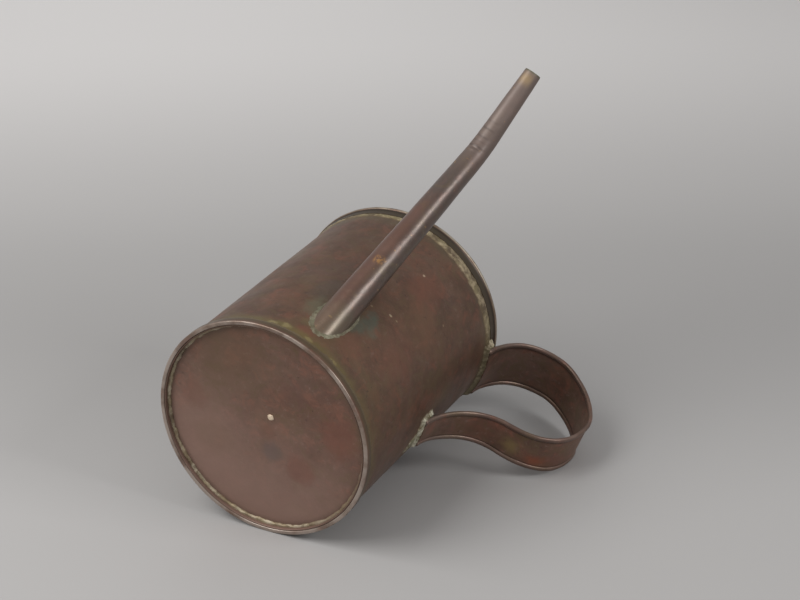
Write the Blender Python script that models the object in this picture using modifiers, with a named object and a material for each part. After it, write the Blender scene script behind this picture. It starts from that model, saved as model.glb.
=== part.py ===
"""Sheet-metal watering can, standing upright on its foot.

Units are metres, +Z is up, the handle points to +X and the spout to about -Y.
Every piece is modelled about the can's own axis and parented to one empty,
which puts the origin under the centre of the whole can's bounding box.
"""

import math

import bmesh
import bpy
from mathutils import Vector

# ---------------------------------------------------------------- driving dimensions
MM = 0.001
GAP = 0.3 * MM  # clearance left between pieces that touch on the real thing
ROUND = 72  # steps of the large turned pieces
MERGE = 0.00005

# body: one rolled sheet
WALL_R = 71.0 * MM
SHEET = 1.2 * MM
WALL_BOTTOM = 1.6 * MM
WALL_TOP = 177.2 * MM
WALL_SEAM_AZ = math.radians(93.0)
WALL_SEAM_R = 0.5 * MM

# foot: channel folded round the lower edge, and the recessed base
FOOT_R = 72.4 * MM
FOOT_IN_R = 69.9 * MM
FOOT_H = 5.2 * MM
FOOT_FLOOR = 1.3 * MM
BASE_R = 69.5 * MM
BASE_FLANGE = 0.7 * MM
BASE_FLANGE_Z = 0.5 * MM
BASE_RECESS = 4.1 * MM
BASE_SHEET = 0.9 * MM
BASE_BEAD_R = 1.0 * MM
FOOT_BEAD_R = 0.65 * MM
DOT_R = 2.1 * MM
DOT_H = 1.0 * MM

# top: collar whose upper edge is rolled round a wire
COLLAR_SHEET = 0.45 * MM
COLLAR_BOTTOM = 171.9 * MM
COLLAR_STRAIGHT = 175.4 * MM
ROLL_AT_R, ROLL_AT_Z = 71.5 * MM, 179.0 * MM
ROLL_R = 1.4 * MM
ROLL_FROM, ROLL_TO = -60.0, 250.0  # degrees; the open part faces the wall's edge
WIRE_R = 0.62 * MM
RIM_BAND_H = 5.6 * MM
RIM_BAND_T = 0.6 * MM

# spout: round tapered tube, straight, then bent outwards near its end
SPOUT_AZ = math.radians(-87.1)
SPOUT_Z = 42.7 * MM
SPOUT_RISE = math.radians(62.9)
SPOUT_LEN = 152.1 * MM
SPOUT_TIP_RISE = math.radians(35.7)
SPOUT_TIP_LEN = 58.8 * MM
SPOUT_BEND_R = 45.0 * MM
SPOUT_START = -26.0 * MM
SPOUT_R_FOOT, SPOUT_R_BEND, SPOUT_R_TIP = 10.3 * MM, 7.3 * MM, 5.6 * MM
SPOUT_SHEET = 0.9 * MM
SPOUT_BEAD_R = 1.15 * MM
SPOUT_SEAM_R = 0.4 * MM

# handle: strap with a round bead along each edge. Each knot of its side view is
# distance from the axis, height, direction in degrees, and the two tangent arms
HANDLE_W_TOP, HANDLE_W_LOW = 39.2 * MM, 21.6 * MM
HANDLE_SHEET = 1.1 * MM
BEAD_R = 1.6 * MM
HANDLE_UPPER = (73.75 * MM, 167.0 * MM, 90.0, 0.0, 28.0 * MM)
HANDLE_CROWN = (109.5 * MM, 206.0 * MM, 0.0, 18.0 * MM, 15.0 * MM)
HANDLE_OUTER = (151.5 * MM, 162.0 * MM, -90.0, 20.0 * MM, 27.0 * MM)
HANDLE_NECK = (112.5 * MM, 122.0 * MM, -179.0, 23.0 * MM, 23.0 * MM)
HANDLE_LOWER = (72.95 * MM, 80.0 * MM, -93.0, 17.0 * MM, 0.0)
HANDLE_STEPS = 11  # per span
WRAP_LEN = 26.0 * MM  # length over which the strap's ends follow the round wall
END_BEAD_R = 1.3 * MM

# colours
COPPER = ((0.115, 0.068, 0.052), 0.9, 0.45)
COPPER_RED = ((0.17, 0.085, 0.062), 0.9, 0.45)
STEEL = ((0.2, 0.19, 0.18), 1.0, 0.5)
SOLDER = ((0.34, 0.32, 0.23), 0.6, 0.5)
SOLDER_GREEN = ((0.20, 0.20, 0.12), 0.6, 0.5)

# ---------------------------------------------------------------- scene
for thing in list(bpy.data.objects):
    bpy.data.objects.remove(thing, do_unlink=True)

parts = bpy.data.collections.new("watering_can")
cutters = bpy.data.collections.new("cutters")
bpy.context.scene.collection.children.link(parts)
bpy.context.scene.collection.children.link(cutters)
cutters.hide_render = True

# the outermost points of the whole can, for the place of its origin
tip_d = (
    WALL_R
    + SPOUT_LEN * math.cos(SPOUT_RISE)
    + SPOUT_TIP_LEN * math.cos(SPOUT_TIP_RISE)
    + SPOUT_R_TIP * math.sin(SPOUT_TIP_RISE)
)
rim_r = ROLL_AT_R + ROLL_R
root = bpy.data.objects.new("can_axis", None)
root.location = (
    -(HANDLE_OUTER[0] + BEAD_R - rim_r) / 2,
    -(rim_r + tip_d * math.sin(SPOUT_AZ)) / 2,
    0.0,
)
parts.objects.link(root)


# ---------------------------------------------------------------- helpers
def place(name, data, look=None, turn=0.0):
    """A part, or with no look a cutter, turned about the can's axis."""
    ob = bpy.data.objects.new(name, data)
    ob.parent = root
    ob.rotation_euler = (0.0, 0.0, turn)
    if look is None:
        cutters.objects.link(ob)
        ob.hide_render = True
        ob.display_type = "WIRE"
        return ob
    parts.objects.link(ob)
    rgb, metallic, rough = look
    m = bpy.data.materials.new(name + "_mat")
    m.use_nodes = True
    b = m.node_tree.nodes["Principled BSDF"]
    b.inputs["Base Color"].default_value = (*rgb, 1.0)
    b.inputs["Metallic"].default_value = metallic
    b.inputs["Roughness"].default_value = rough
    m.diffuse_color = (*rgb, 1.0)
    data.materials.append(m)
    return ob


def turned(name, profile, look, closed=False, steps=ROUND):
    """Profile of (distance, height), down its outer side, turned about Z with Screw."""
    me = bpy.data.meshes.new(name)
    bm = bmesh.new()
    pts = [bm.verts.new((r, 0.0, z)) for r, z in profile]
    for a, b in zip(pts, pts[1:]):
        bm.edges.new((a, b))
    if closed:
        bm.edges.new((pts[-1], pts[0]))
    bm.to_mesh(me)
    bm.free()
    ob = place(name, me, look)
    s = ob.modifiers.new("turn", "SCREW")
    s.axis = "Z"
    s.angle = 2 * math.pi
    s.steps = s.render_steps = steps
    s.use_merge_vertices = True
    s.merge_threshold = MERGE
    s.use_smooth_shade = True
    return ob


def solidify(ob, thickness, offset):
    s = ob.modifiers.new("sheet", "SOLIDIFY")
    s.thickness = thickness
    s.offset = offset
    s.use_even_offset = True


def cut(ob, tool):
    m = ob.modifiers.new("cut", "BOOLEAN")
    m.operation = "DIFFERENCE"
    m.solver = "EXACT"
    m.object = tool


def wire_data(name, points, radius, closed=False, sides=2, caps=True):
    """Curve through points of (x, y, z, share of radius), with a round section."""
    cu = bpy.data.curves.new(name, "CURVE")
    cu.dimensions = "3D"
    cu.fill_mode = "FULL"
    cu.bevel_depth = radius
    cu.bevel_resolution = sides
    cu.render_resolution_u = 0
    cu.use_fill_caps = caps and not closed
    sp = cu.splines.new("POLY")
    sp.points.add(len(points) - 1)
    for p, (x, y, z, share) in zip(sp.points, points):
        p.co = (x, y, z, 1.0)
        p.radius = share
    sp.use_cyclic_u = closed
    sp.use_smooth = True
    return cu


def lumps(a, *terms):
    """1 plus a sum of size * sin(count * a + phase): the uneven width of a solder bead."""
    return 1.0 + sum(size * math.sin(count * a + phase) for size, count, phase in terms)


def ring_bead(name, r, z, radius, look, *terms):
    points = []
    for k in range(ROUND):
        a = 2 * math.pi * k / ROUND
        share = lumps(a, *terms)
        points.append((r * math.cos(a), r * math.sin(a), z, share))
    return place(name, wire_data(name, points, radius, closed=True, sides=1), look)


# ---------------------------------------------------------------- body
body = turned(
    "body_wall",
    [(WALL_R, WALL_TOP + (WALL_BOTTOM - WALL_TOP) * k / 4) for k in range(5)],
    COPPER,
)
solidify(body, SHEET, -1.0)

seam_points = []
for k in range(19):
    z = 10.0 * MM + (162.0 - 10.0) * MM * k / 18
    r = WALL_R + GAP + WALL_SEAM_R * 1.15
    share = lumps(z / MM, (0.08, 0.21, 0.3), (0.06, 0.53, 1.1))
    seam_points.append((r, 0.0, z, share))
place("wall_seam_solder", wire_data("wall_seam_solder", seam_points, WALL_SEAM_R), SOLDER_GREEN, WALL_SEAM_AZ)

# ---------------------------------------------------------------- foot and base
turned(
    "foot_ring",
    [
        (WALL_R + GAP, FOOT_H),
        (FOOT_R - 0.25 * MM, FOOT_H),
        (FOOT_R, FOOT_H - 0.3 * MM),
        (FOOT_R, 0.45 * MM),
        (FOOT_R - 0.45 * MM, 0.0),
        (FOOT_IN_R + 0.35 * MM, 0.0),
        (FOOT_IN_R, 0.35 * MM),
        (FOOT_IN_R, FOOT_FLOOR),
        (WALL_R + GAP, FOOT_FLOOR),
    ],
    COPPER_RED,
    closed=True,
)

flange_in = BASE_R - BASE_FLANGE
base_top = BASE_RECESS + BASE_SHEET
turned(
    "base_plate",
    [
        (0.0, base_top),
        (BASE_R - 0.5 * MM, base_top),
        (BASE_R, base_top - 0.5 * MM),
        (BASE_R, BASE_FLANGE_Z),
        (flange_in, BASE_FLANGE_Z),
        (flange_in, BASE_RECESS),
        (0.0, BASE_RECESS),
    ],
    COPPER_RED,
)
ring_bead(
    "base_solder",
    flange_in - GAP - 1.2 * BASE_BEAD_R,
    BASE_RECESS - GAP - 1.2 * BASE_BEAD_R,
    BASE_BEAD_R,
    SOLDER,
    (0.08, 5, 0.4),
    (0.07, 13, 1.9),
    (0.05, 23, 0.2),
)

bpy.ops.mesh.primitive_uv_sphere_add(segments=16, ring_count=8, radius=DOT_R)
ball = bpy.context.object
dot_mesh = ball.data.copy()
bpy.data.objects.remove(ball, do_unlink=True)
for v in dot_mesh.vertices:
    v.co.z *= DOT_H / 2 / DOT_R
dot_mesh.shade_smooth()
dot = place("base_centre_solder", dot_mesh, SOLDER)
dot.location = (0.0, 0.0, BASE_RECESS - GAP - DOT_H / 2)

ring_bead(
    "foot_solder",
    WALL_R + GAP + 1.2 * FOOT_BEAD_R,
    FOOT_H + GAP + 1.2 * FOOT_BEAD_R,
    FOOT_BEAD_R,
    SOLDER_GREEN,
    (0.08, 6, 0.9),
    (0.06, 17, 2.5),
)

# ---------------------------------------------------------------- rim
collar_in = WALL_R + GAP
collar_out = collar_in + COLLAR_SHEET


def roll_point(degrees, radius):
    q = math.radians(degrees)
    return (ROLL_AT_R + radius * math.cos(q), ROLL_AT_Z + radius * math.sin(q))


span = ROLL_TO - ROLL_FROM
outer_arc = [roll_point(ROLL_FROM + span * k / 9, ROLL_R) for k in range(10)]
inner_arc = [roll_point(ROLL_FROM + span * k / 7, ROLL_R - COLLAR_SHEET) for k in range(8)]
turned(
    "rim_collar",
    outer_arc[::-1]
    + [
        (collar_out, COLLAR_STRAIGHT),
        (collar_out, COLLAR_BOTTOM),
        (collar_in, COLLAR_BOTTOM),
        (collar_in, COLLAR_STRAIGHT + 0.3 * MM),
    ]
    + inner_arc,
    COPPER,
    closed=True,
)

bpy.ops.mesh.primitive_torus_add(
    major_radius=ROLL_AT_R, minor_radius=WIRE_R, major_segments=ROUND, minor_segments=6
)
torus = bpy.context.object
wire_mesh = torus.data.copy()
bpy.data.objects.remove(torus, do_unlink=True)
wire_mesh.shade_smooth()
rim_wire = place("rim_wire", wire_mesh, STEEL)
rim_wire.location = (0.0, 0.0, ROLL_AT_Z)

band_top = COLLAR_BOTTOM - GAP
band = turned(
    "rim_solder",
    [
        (collar_in, band_top),
        (collar_in + 0.8 * RIM_BAND_T, band_top),
        (collar_in + RIM_BAND_T, band_top - 0.45 * RIM_BAND_H),
        (collar_in + 0.5 * RIM_BAND_T, band_top - 0.9 * RIM_BAND_H),
        (collar_in, band_top - RIM_BAND_H),
    ],
    SOLDER_GREEN,
    closed=True,
)
# the band stops each side of the handle
bpy.ops.mesh.primitive_cube_add(size=1.0)
cube = bpy.context.object
notch_mesh = cube.data.copy()
bpy.data.objects.remove(cube, do_unlink=True)
for v in notch_mesh.vertices:
    v.co = Vector((v.co.x * 40 * MM, v.co.y * (HANDLE_W_TOP + 9 * MM), v.co.z * 20 * MM))
notch = place("cut_band_at_handle", notch_mesh)
notch.location = (WALL_R, 0.0, band_top)
cut(band, notch)


# ---------------------------------------------------------------- spout
def spout_radius(s):
    if s <= SPOUT_LEN:
        return SPOUT_R_FOOT + (SPOUT_R_BEND - SPOUT_R_FOOT) * s / SPOUT_LEN
    return SPOUT_R_BEND + (SPOUT_R_TIP - SPOUT_R_BEND) * (s - SPOUT_LEN) / SPOUT_TIP_LEN


def spout_line():
    """[(distance, height, rise, radius)] in the spout's upright plane, from inside the wall to the tip."""
    bend = SPOUT_RISE - SPOUT_TIP_RISE
    arm = SPOUT_BEND_R * math.tan(bend / 2)
    ux, uz = math.cos(SPOUT_RISE), math.sin(SPOUT_RISE)
    vx, vz = math.cos(SPOUT_TIP_RISE), math.sin(SPOUT_TIP_RISE)
    kx, kz = WALL_R + SPOUT_LEN * ux, SPOUT_Z + SPOUT_LEN * uz
    out = []
    for k in range(6):
        s = SPOUT_START + (SPOUT_LEN - arm - SPOUT_START) * k / 5
        out.append((WALL_R + s * ux, SPOUT_Z + s * uz, SPOUT_RISE, spout_radius(s)))
    cx, cz = kx - arm * ux + SPOUT_BEND_R * uz, kz - arm * uz - SPOUT_BEND_R * ux
    for k in range(1, 7):
        rise = SPOUT_RISE - bend * k / 6
        s = SPOUT_LEN - arm + 2 * arm * k / 6
        out.append(
            (cx - SPOUT_BEND_R * math.sin(rise), cz + SPOUT_BEND_R * math.cos(rise), rise, spout_radius(s))
        )
    for k in (1, 2):
        s = arm + (SPOUT_TIP_LEN - arm) * k / 2
        out.append((kx + s * vx, kz + s * vz, SPOUT_TIP_RISE, spout_radius(SPOUT_LEN + s)))
    return out


LINE = spout_line()
tube_curve = place(
    "spout_curve",
    wire_data(
        "spout_curve",
        [(d, 0.0, z, r / SPOUT_R_FOOT) for d, z, _, r in LINE],
        SPOUT_R_FOOT,
        sides=10,
        caps=False,
    ),
    COPPER,
    SPOUT_AZ,
)
bpy.context.view_layer.update()
seen = tube_curve.evaluated_get(bpy.context.evaluated_depsgraph_get())
tube_mesh = bpy.data.meshes.new_from_object(seen)
bpy.data.objects.remove(tube_curve, do_unlink=True)
tube_mesh.materials.clear()
tube_mesh.name = "spout_tube"
bm = bmesh.new()
bm.from_mesh(tube_mesh)
bmesh.ops.remove_doubles(bm, verts=bm.verts, dist=MERGE)
bmesh.ops.recalc_face_normals(bm, faces=bm.faces)
# an open tube has no inside for the tool to find: make sure its faces look away from the axis
probe = bm.faces[0]
mid = probe.calc_center_median()
near = min(LINE, key=lambda at: (at[0] - mid.x) ** 2 + (at[1] - mid.z) ** 2)
if probe.normal.dot(mid - Vector((near[0], 0.0, near[1]))) < 0:
    bmesh.ops.reverse_faces(bm, faces=bm.faces)
bm.to_mesh(tube_mesh)
bm.free()
tube_mesh.shade_smooth()
spout = place("spout_tube", tube_mesh, COPPER, SPOUT_AZ)
solidify(spout, SPOUT_SHEET, -1.0)


def cylinder_cutter(name, radius, length, sides):
    bpy.ops.mesh.primitive_cylinder_add(vertices=sides, radius=radius, depth=length)
    made = bpy.context.object
    me = made.data.copy()
    bpy.data.objects.remove(made, do_unlink=True)
    return place(name, me)


inside = cylinder_cutter("cut_inside_wall", WALL_R + GAP, 300 * MM, 2 * ROUND)
inside.location = (0.0, 0.0, 100 * MM)
cut(spout, inside)

hole = cylinder_cutter("cut_spout_hole", SPOUT_R_FOOT - SPOUT_SHEET, 60 * MM, 32)
hole.location = (WALL_R * math.cos(SPOUT_AZ), WALL_R * math.sin(SPOUT_AZ), SPOUT_Z)
hole.rotation_euler = (0.0, math.pi / 2 - SPOUT_RISE, SPOUT_AZ)
cut(body, hole)


def meets(q, extra, r_wall):
    """Where the line along the spout at angle q, extra clear of its surface, is r_wall from the can's axis."""
    ux, uz = math.cos(SPOUT_RISE), math.sin(SPOUT_RISE)
    low, high = -60 * MM, 120 * MM
    for _ in range(50):
        s = (low + high) / 2
        a = spout_radius(s) + extra
        p = Vector(
            (
                WALL_R + s * ux - a * math.sin(q) * uz,
                a * math.cos(q),
                SPOUT_Z + s * uz + a * math.sin(q) * ux,
            )
        )
        if math.hypot(p.x, p.y) < r_wall:
            low = s
        else:
            high = s
    return p


fillet = []
for k in range(40):
    q = 2 * math.pi * k / 40
    clear = GAP + 1.2 * SPOUT_BEAD_R
    p = meets(q, clear, WALL_R + clear)
    fillet.append((p.x, p.y, p.z, lumps(q, (0.08, 3, 0.5), (0.07, 8, 1.0))))
place(
    "spout_foot_solder",
    wire_data("spout_foot_solder", fillet, SPOUT_BEAD_R, closed=True),
    SOLDER_GREEN,
    SPOUT_AZ,
)

# the tube's own seam lies on the side that faces the can
seam_points = []
for d, z, rise, r in LINE[2:]:
    out = r + GAP + 1.1 * SPOUT_SEAM_R
    seam_points.append((d - out * math.sin(rise), 0.0, z + out * math.cos(rise), 1.0))
place(
    "spout_seam_solder",
    wire_data("spout_seam_solder", seam_points, SPOUT_SEAM_R, sides=1),
    SOLDER_GREEN,
    SPOUT_AZ,
)


# ---------------------------------------------------------------- handle
def handle_line():
    """[(distance, height, direction, length so far)] along the strap's middle."""
    knots = (HANDLE_UPPER, HANDLE_CROWN, HANDLE_OUTER, HANDLE_NECK, HANDLE_LOWER)
    out = []
    for a, b in zip(knots, knots[1:]):
        ta, tb = math.radians(a[2]), math.radians(b[2])
        p = (
            (a[0], a[1]),
            (a[0] + a[4] * math.cos(ta), a[1] + a[4] * math.sin(ta)),
            (b[0] - b[3] * math.cos(tb), b[1] - b[3] * math.sin(tb)),
            (b[0], b[1]),
        )
        for k in range(HANDLE_STEPS + (b is knots[-1])):
            t = k / HANDLE_STEPS
            u = 1 - t
            w = (u * u * u, 3 * u * u * t, 3 * u * t * t, t * t * t)
            v = (-3 * u * u, 3 * u * u - 6 * u * t, 6 * u * t - 3 * t * t, 3 * t * t)
            d, z = (sum(w[i] * p[i][c] for i in range(4)) for c in (0, 1))
            vd, vz = (sum(v[i] * p[i][c] for i in range(4)) for c in (0, 1))
            run = out[-1][3] + math.hypot(d - out[-1][0], z - out[-1][1]) if out else 0.0
            out.append((d, z, math.atan2(vz, vd), run))
    return out


STRAP = handle_line()
STRAP_LEN = STRAP[-1][3]


def half_width(run):
    return 0.5 * (HANDLE_W_TOP + (HANDLE_W_LOW - HANDLE_W_TOP) * run / STRAP_LEN)


def strap_point(at, sideways):
    """Near its ends the strap bends across its width, to lie on the round wall."""
    d, z, _, run = at
    wrap = max(0.0, 1.0 - min(run, STRAP_LEN - run) / WRAP_LEN)
    wrap = wrap * wrap * (3 - 2 * wrap)
    drop = (d - math.sqrt(d * d - sideways * sideways)) * wrap
    return (d - drop, sideways, z)


ACROSS = 6
strap_mesh = bpy.data.meshes.new("handle_strap")
bm = bmesh.new()
bmesh.ops.create_grid(bm, x_segments=len(STRAP) - 1, y_segments=ACROSS, size=1.0)
for v in bm.verts:
    at = STRAP[round((v.co.x + 1) / 2 * (len(STRAP) - 1))]
    v.co = strap_point(at, v.co.y * (half_width(at[3]) - 2 * BEAD_R - GAP))
bm.to_mesh(strap_mesh)
bm.free()
strap_mesh.shade_smooth()
strap = place("handle_strap", strap_mesh, COPPER_RED)
solidify(strap, HANDLE_SHEET, 0.0)

for name, side in (("handle_bead_left", 1), ("handle_bead_right", -1)):
    points = [(*strap_point(at, side * (half_width(at[3]) - BEAD_R)), 1.0) for at in STRAP]
    place(name, wire_data(name, points, BEAD_R), COPPER_RED)


def end_bead(name, half, z_end, z_open, phase):
    """Solder on the wall, down one side of the strap's end, across below it and up the other side."""
    reach = half + GAP + 1.25 * END_BEAD_R
    low = z_end - GAP - 1.25 * END_BEAD_R
    r = WALL_R + GAP + 1.25 * END_BEAD_R
    bend = 2.5 * MM
    path = [(-reach, z_open + (low + bend - z_open) * k / 4) for k in range(4)]
    for k in range(5):
        q = math.pi / 2 * k / 4
        path.append((-reach + bend * (1 - math.cos(q)), low + bend * (1 - math.sin(q))))
    path += [((-reach + bend) * (1 - k / 4), low) for k in range(1, 4)]
    path += [(0.0, low)] + [(-y, z) for y, z in reversed(path)]
    points = [
        (math.sqrt(r * r - y * y), y, z, lumps(k, (0.12, 0.9, phase), (0.08, 2.3, phase)))
        for k, (y, z) in enumerate(path)
    ]
    place(name, wire_data(name, points, END_BEAD_R), SOLDER)


end_bead("handle_upper_solder", half_width(0.0), HANDLE_UPPER[1], COLLAR_BOTTOM - 2.2 * MM, 0.3)
end_bead("handle_lower_solder", half_width(STRAP_LEN), HANDLE_LOWER[1], HANDLE_LOWER[1] + 9 * MM, 1.7)
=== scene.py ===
"""Looks of the sheet-copper watering can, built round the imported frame."""

import math

import bmesh
import bpy
import numpy as np
from mathutils import Matrix, Vector, noise


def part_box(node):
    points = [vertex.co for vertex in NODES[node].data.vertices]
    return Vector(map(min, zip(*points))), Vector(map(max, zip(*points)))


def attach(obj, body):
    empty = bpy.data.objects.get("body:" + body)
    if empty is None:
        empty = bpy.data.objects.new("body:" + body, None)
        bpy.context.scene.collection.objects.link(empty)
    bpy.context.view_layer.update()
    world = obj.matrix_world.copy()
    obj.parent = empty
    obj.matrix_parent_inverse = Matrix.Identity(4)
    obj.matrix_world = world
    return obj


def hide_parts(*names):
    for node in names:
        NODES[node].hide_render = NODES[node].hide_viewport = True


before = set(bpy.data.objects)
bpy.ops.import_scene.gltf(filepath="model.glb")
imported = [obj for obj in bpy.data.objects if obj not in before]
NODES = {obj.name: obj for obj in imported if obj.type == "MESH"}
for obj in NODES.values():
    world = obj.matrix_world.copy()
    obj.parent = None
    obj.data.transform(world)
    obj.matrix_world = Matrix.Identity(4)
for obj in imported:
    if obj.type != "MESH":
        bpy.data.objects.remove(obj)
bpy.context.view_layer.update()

MM = 0.001
lo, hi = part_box("body_wall")
AX, AY = (lo[0] + hi[0]) / 2, (lo[1] + hi[1]) / 2
AXIS = Vector((AX, AY, 0.0))

# the design's own dimensions, as in the CAD
WALL_R, SHEET = 71.0 * MM, 1.2 * MM
SPOUT_AZ = math.radians(-87.1)
SPOUT_Z = 42.7 * MM
RISE, TIP_RISE = math.radians(62.9), math.radians(35.7)
S1, S2 = 152.1 * MM, 58.8 * MM
BEND_R = 45.0 * MM
RA, RB, RC = 10.3 * MM, 7.3 * MM, 5.6 * MM


def nz(x, y, z, octaves=3):
    return noise.fractal(Vector((x, y, z)), 1.0, 2.0, octaves)


def smooth(a, b, x):
    t = np.clip((x - a) / (b - a), 0.0, 1.0)
    return t * t * (3 - 2 * t)


# ------------------------------------------------------------------ meshes
def finish_mesh(name, verts, faces, sharp=40.0):
    me = bpy.data.meshes.new(name)
    me.from_pydata([tuple(v) for v in verts], [], faces)
    me.update()
    me.shade_smooth()
    me.set_sharp_from_angle(angle=math.radians(sharp))
    ob = bpy.data.objects.new(name, me)
    bpy.context.scene.collection.objects.link(ob)
    return ob


def grid(name, P, close_u=False, close_v=False, cap_u=False, flip=False, sharp=40.0):
    """Quads over P[u][v]. cap_u closes the first and last ring with a face."""
    P = np.asarray(P, float)
    nu, nv = P.shape[:2]
    faces = []
    for i in range(nu if close_u else nu - 1):
        a, b = i * nv, ((i + 1) % nu) * nv
        for j in range(nv if close_v else nv - 1):
            k = (j + 1) % nv
            f = (a + j, a + k, b + k, b + j)
            faces.append(f[::-1] if flip else f)
    if cap_u:
        c0, c1 = tuple(range(nv)), tuple((nu - 1) * nv + j for j in range(nv))
        faces.append(c0 if flip else c0[::-1])
        faces.append(c1[::-1] if flip else c1)
    ob = finish_mesh(name, P.reshape(-1, 3), faces, sharp)
    bm = bmesh.new()
    bm.from_mesh(ob.data)
    bmesh.ops.recalc_face_normals(bm, faces=bm.faces)
    bm.to_mesh(ob.data)
    bm.free()
    return ob


def tag(ob, name, values):
    """A value at each vertex, for the material to read."""
    at = ob.data.attributes.new(name, "FLOAT", "POINT")
    at.data.foreach_set("value", np.asarray(values, np.float32).ravel())
    return ob


def wall_r(a, z):
    """Outside radius of the slightly uneven rolled sheet."""
    x, y = math.cos(a), math.sin(a)
    d = 0.16 * nz(x * 1.7 + 3, y * 1.7, z * 14, 2) + 0.05 * nz(x * 7, y * 7 + 5, z * 90, 2)
    ends = min(1.0, max(0.0, (z - 0.006) / 0.02)) * min(1.0, max(0.0, (0.170 - z) / 0.02))
    return WALL_R + d * MM * ends


def on_axis(r, a, z):
    return (AX + r * math.cos(a), AY + r * math.sin(a), z)


def lathe(name, profile, steps=288, wobble=None, closed=True, sharp=40.0):
    """profile: (r, z) all round the section. wobble(a, i, r, z) gives (dr, dz)."""
    P = []
    for s in range(steps):
        a = 2 * math.pi * s / steps
        row = []
        for i, (r, z) in enumerate(profile):
            dr, dz = wobble(a, i, r, z) if wobble else (0.0, 0.0)
            row.append(on_axis(r + dr, a, z + dz))
        P.append(row)
    return grid(name, P, close_u=True, close_v=closed, sharp=sharp)


def rounded(points, radii, steps=4):
    """A closed outline with its corners rounded."""
    out = []
    n = len(points)
    for i, p in enumerate(points):
        p = np.array(p)
        a, b = np.array(points[i - 1]), np.array(points[(i + 1) % n])
        r = radii[i]
        if r <= 0:
            out.append(tuple(p))
            continue
        u, v = (a - p) / np.linalg.norm(a - p), (b - p) / np.linalg.norm(b - p)
        half = math.acos(max(-1, min(1, float(u @ v)))) / 2
        t = r / math.tan(half)
        s, e = p + u * t, p + v * t
        for k in range(steps + 1):
            f = k / steps
            q = (1 - f) ** 2 * s + 2 * f * (1 - f) * p + f * f * e
            out.append(tuple(q))
    return out


# ---- body wall
def make_body():
    nu, rows = 288, 110
    P = []
    for s in range(nu):
        a = 2 * math.pi * s / nu
        row = [on_axis(wall_r(a, z), a, z) for z in np.linspace(1.6, 177.2, rows) * MM]
        row += [on_axis(wall_r(a, z) - SHEET, a, z) for z in np.linspace(177.2, 1.6, 60) * MM]
        P.append(row)
    ob = grid("wall_sheet", P, close_u=True, close_v=True, sharp=50)
    er = Vector((math.cos(SPOUT_AZ), math.sin(SPOUT_AZ), 0))
    bpy.ops.mesh.primitive_cylinder_add(vertices=64, radius=RA - 0.9 * MM, depth=60 * MM)
    c = bpy.context.object
    c.name = "hole_tool"
    c.location = AXIS + er * WALL_R + Vector((0, 0, SPOUT_Z))
    c.rotation_euler = (0, math.pi / 2 - RISE, SPOUT_AZ)
    m = ob.modifiers.new("hole", "BOOLEAN")
    m.operation, m.solver, m.object = "DIFFERENCE", "EXACT", c
    bpy.context.view_layer.update()
    dg = bpy.context.evaluated_depsgraph_get()
    me = bpy.data.meshes.new_from_object(ob.evaluated_get(dg))
    ob.modifiers.clear()
    ob.data = me
    bpy.data.objects.remove(c, do_unlink=True)
    me.shade_smooth()
    me.set_sharp_from_angle(angle=math.radians(50))
    return ob


# ---- spout
def radius_at(s):
    return RA + (RB - RA) * s / S1 if s <= S1 else RB + (RC - RB) * (s - S1) / S2


ARM = BEND_R * math.tan((RISE - TIP_RISE) / 2)
ARC = BEND_R * (RISE - TIP_RISE)
LENGTH = S1 - ARM + ARC + S2 - ARM  # along the true centre line


def centre(s):
    """(distance, height, rise) at length s along the centre line; 0 is at the wall."""
    ux, uz = math.cos(RISE), math.sin(RISE)
    a = S1 - ARM
    if s <= a:
        return WALL_R + s * ux, SPOUT_Z + s * uz, RISE
    bx, bz = WALL_R + a * ux, SPOUT_Z + a * uz
    cx, cz = bx + BEND_R * uz, bz - BEND_R * ux
    if s <= a + ARC:
        rise = RISE - (s - a) / BEND_R
        return cx - BEND_R * math.sin(rise), cz + BEND_R * math.cos(rise), rise
    ex, ez = cx - BEND_R * math.sin(TIP_RISE), cz + BEND_R * math.cos(TIP_RISE)
    t = s - a - ARC
    return ex + t * math.cos(TIP_RISE), ez + t * math.sin(TIP_RISE), TIP_RISE


def tube_radius(s):
    return radius_at(s * (S1 + S2) / LENGTH)


def spout_point(s, q, r):
    """q = 0 sideways, 90 degrees on the side that faces the can, -90 on the outer side."""
    d, z, rise = centre(s)
    x = d - r * math.sin(q) * math.sin(rise)
    zz = z + r * math.sin(q) * math.cos(rise)
    y = r * math.cos(q)
    c, sn = math.cos(SPOUT_AZ), math.sin(SPOUT_AZ)
    return (AX + x * c - y * sn, AY + x * sn + y * c, zz)


def wall_s(q, extra, r_wall):
    a, b = -60 * MM, 100 * MM
    for _ in range(40):
        s = (a + b) / 2
        p = spout_point(s, q, tube_radius(s) + extra)
        if math.hypot(p[0] - AX, p[1] - AY) < r_wall:
            a = s
        else:
            b = s
    return s


# creases across the inside of the bend: (length along, depth, width, centre angle, spread)
CREASES = [
    (149.0, 0.42, 1.15, -112, 44),
    (158.0, 0.13, 1.6, -100, 40),
    (164.5, 0.16, 1.2, -120, 34),
    (170.0, 0.10, 1.3, -95, 40),
]


def spout_skin(s, q):
    """Unevenness of the tube's outside, in metres."""
    mm = s / MM
    d = 0.10 * nz(math.cos(q) * 1.2, math.sin(q) * 1.2 + 7, mm / 16, 2)
    d += 0.035 * nz(math.cos(q) * 3, math.sin(q) * 3 + 2, mm / 4, 2)
    for at, depth, width, mid, spread in CREASES:
        dq = (math.degrees(q) - mid + 180) % 360 - 180
        w = math.exp(-((dq / spread) ** 2))
        slant = at + 0.9 * math.sin(math.radians(dq) * 1.3 + at)
        x = (mm - slant) / width
        d += w * depth * (-math.exp(-x * x) + 0.38 * math.exp(-((abs(x) - 1.7) ** 2) * 1.6))
    return d * MM


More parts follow.
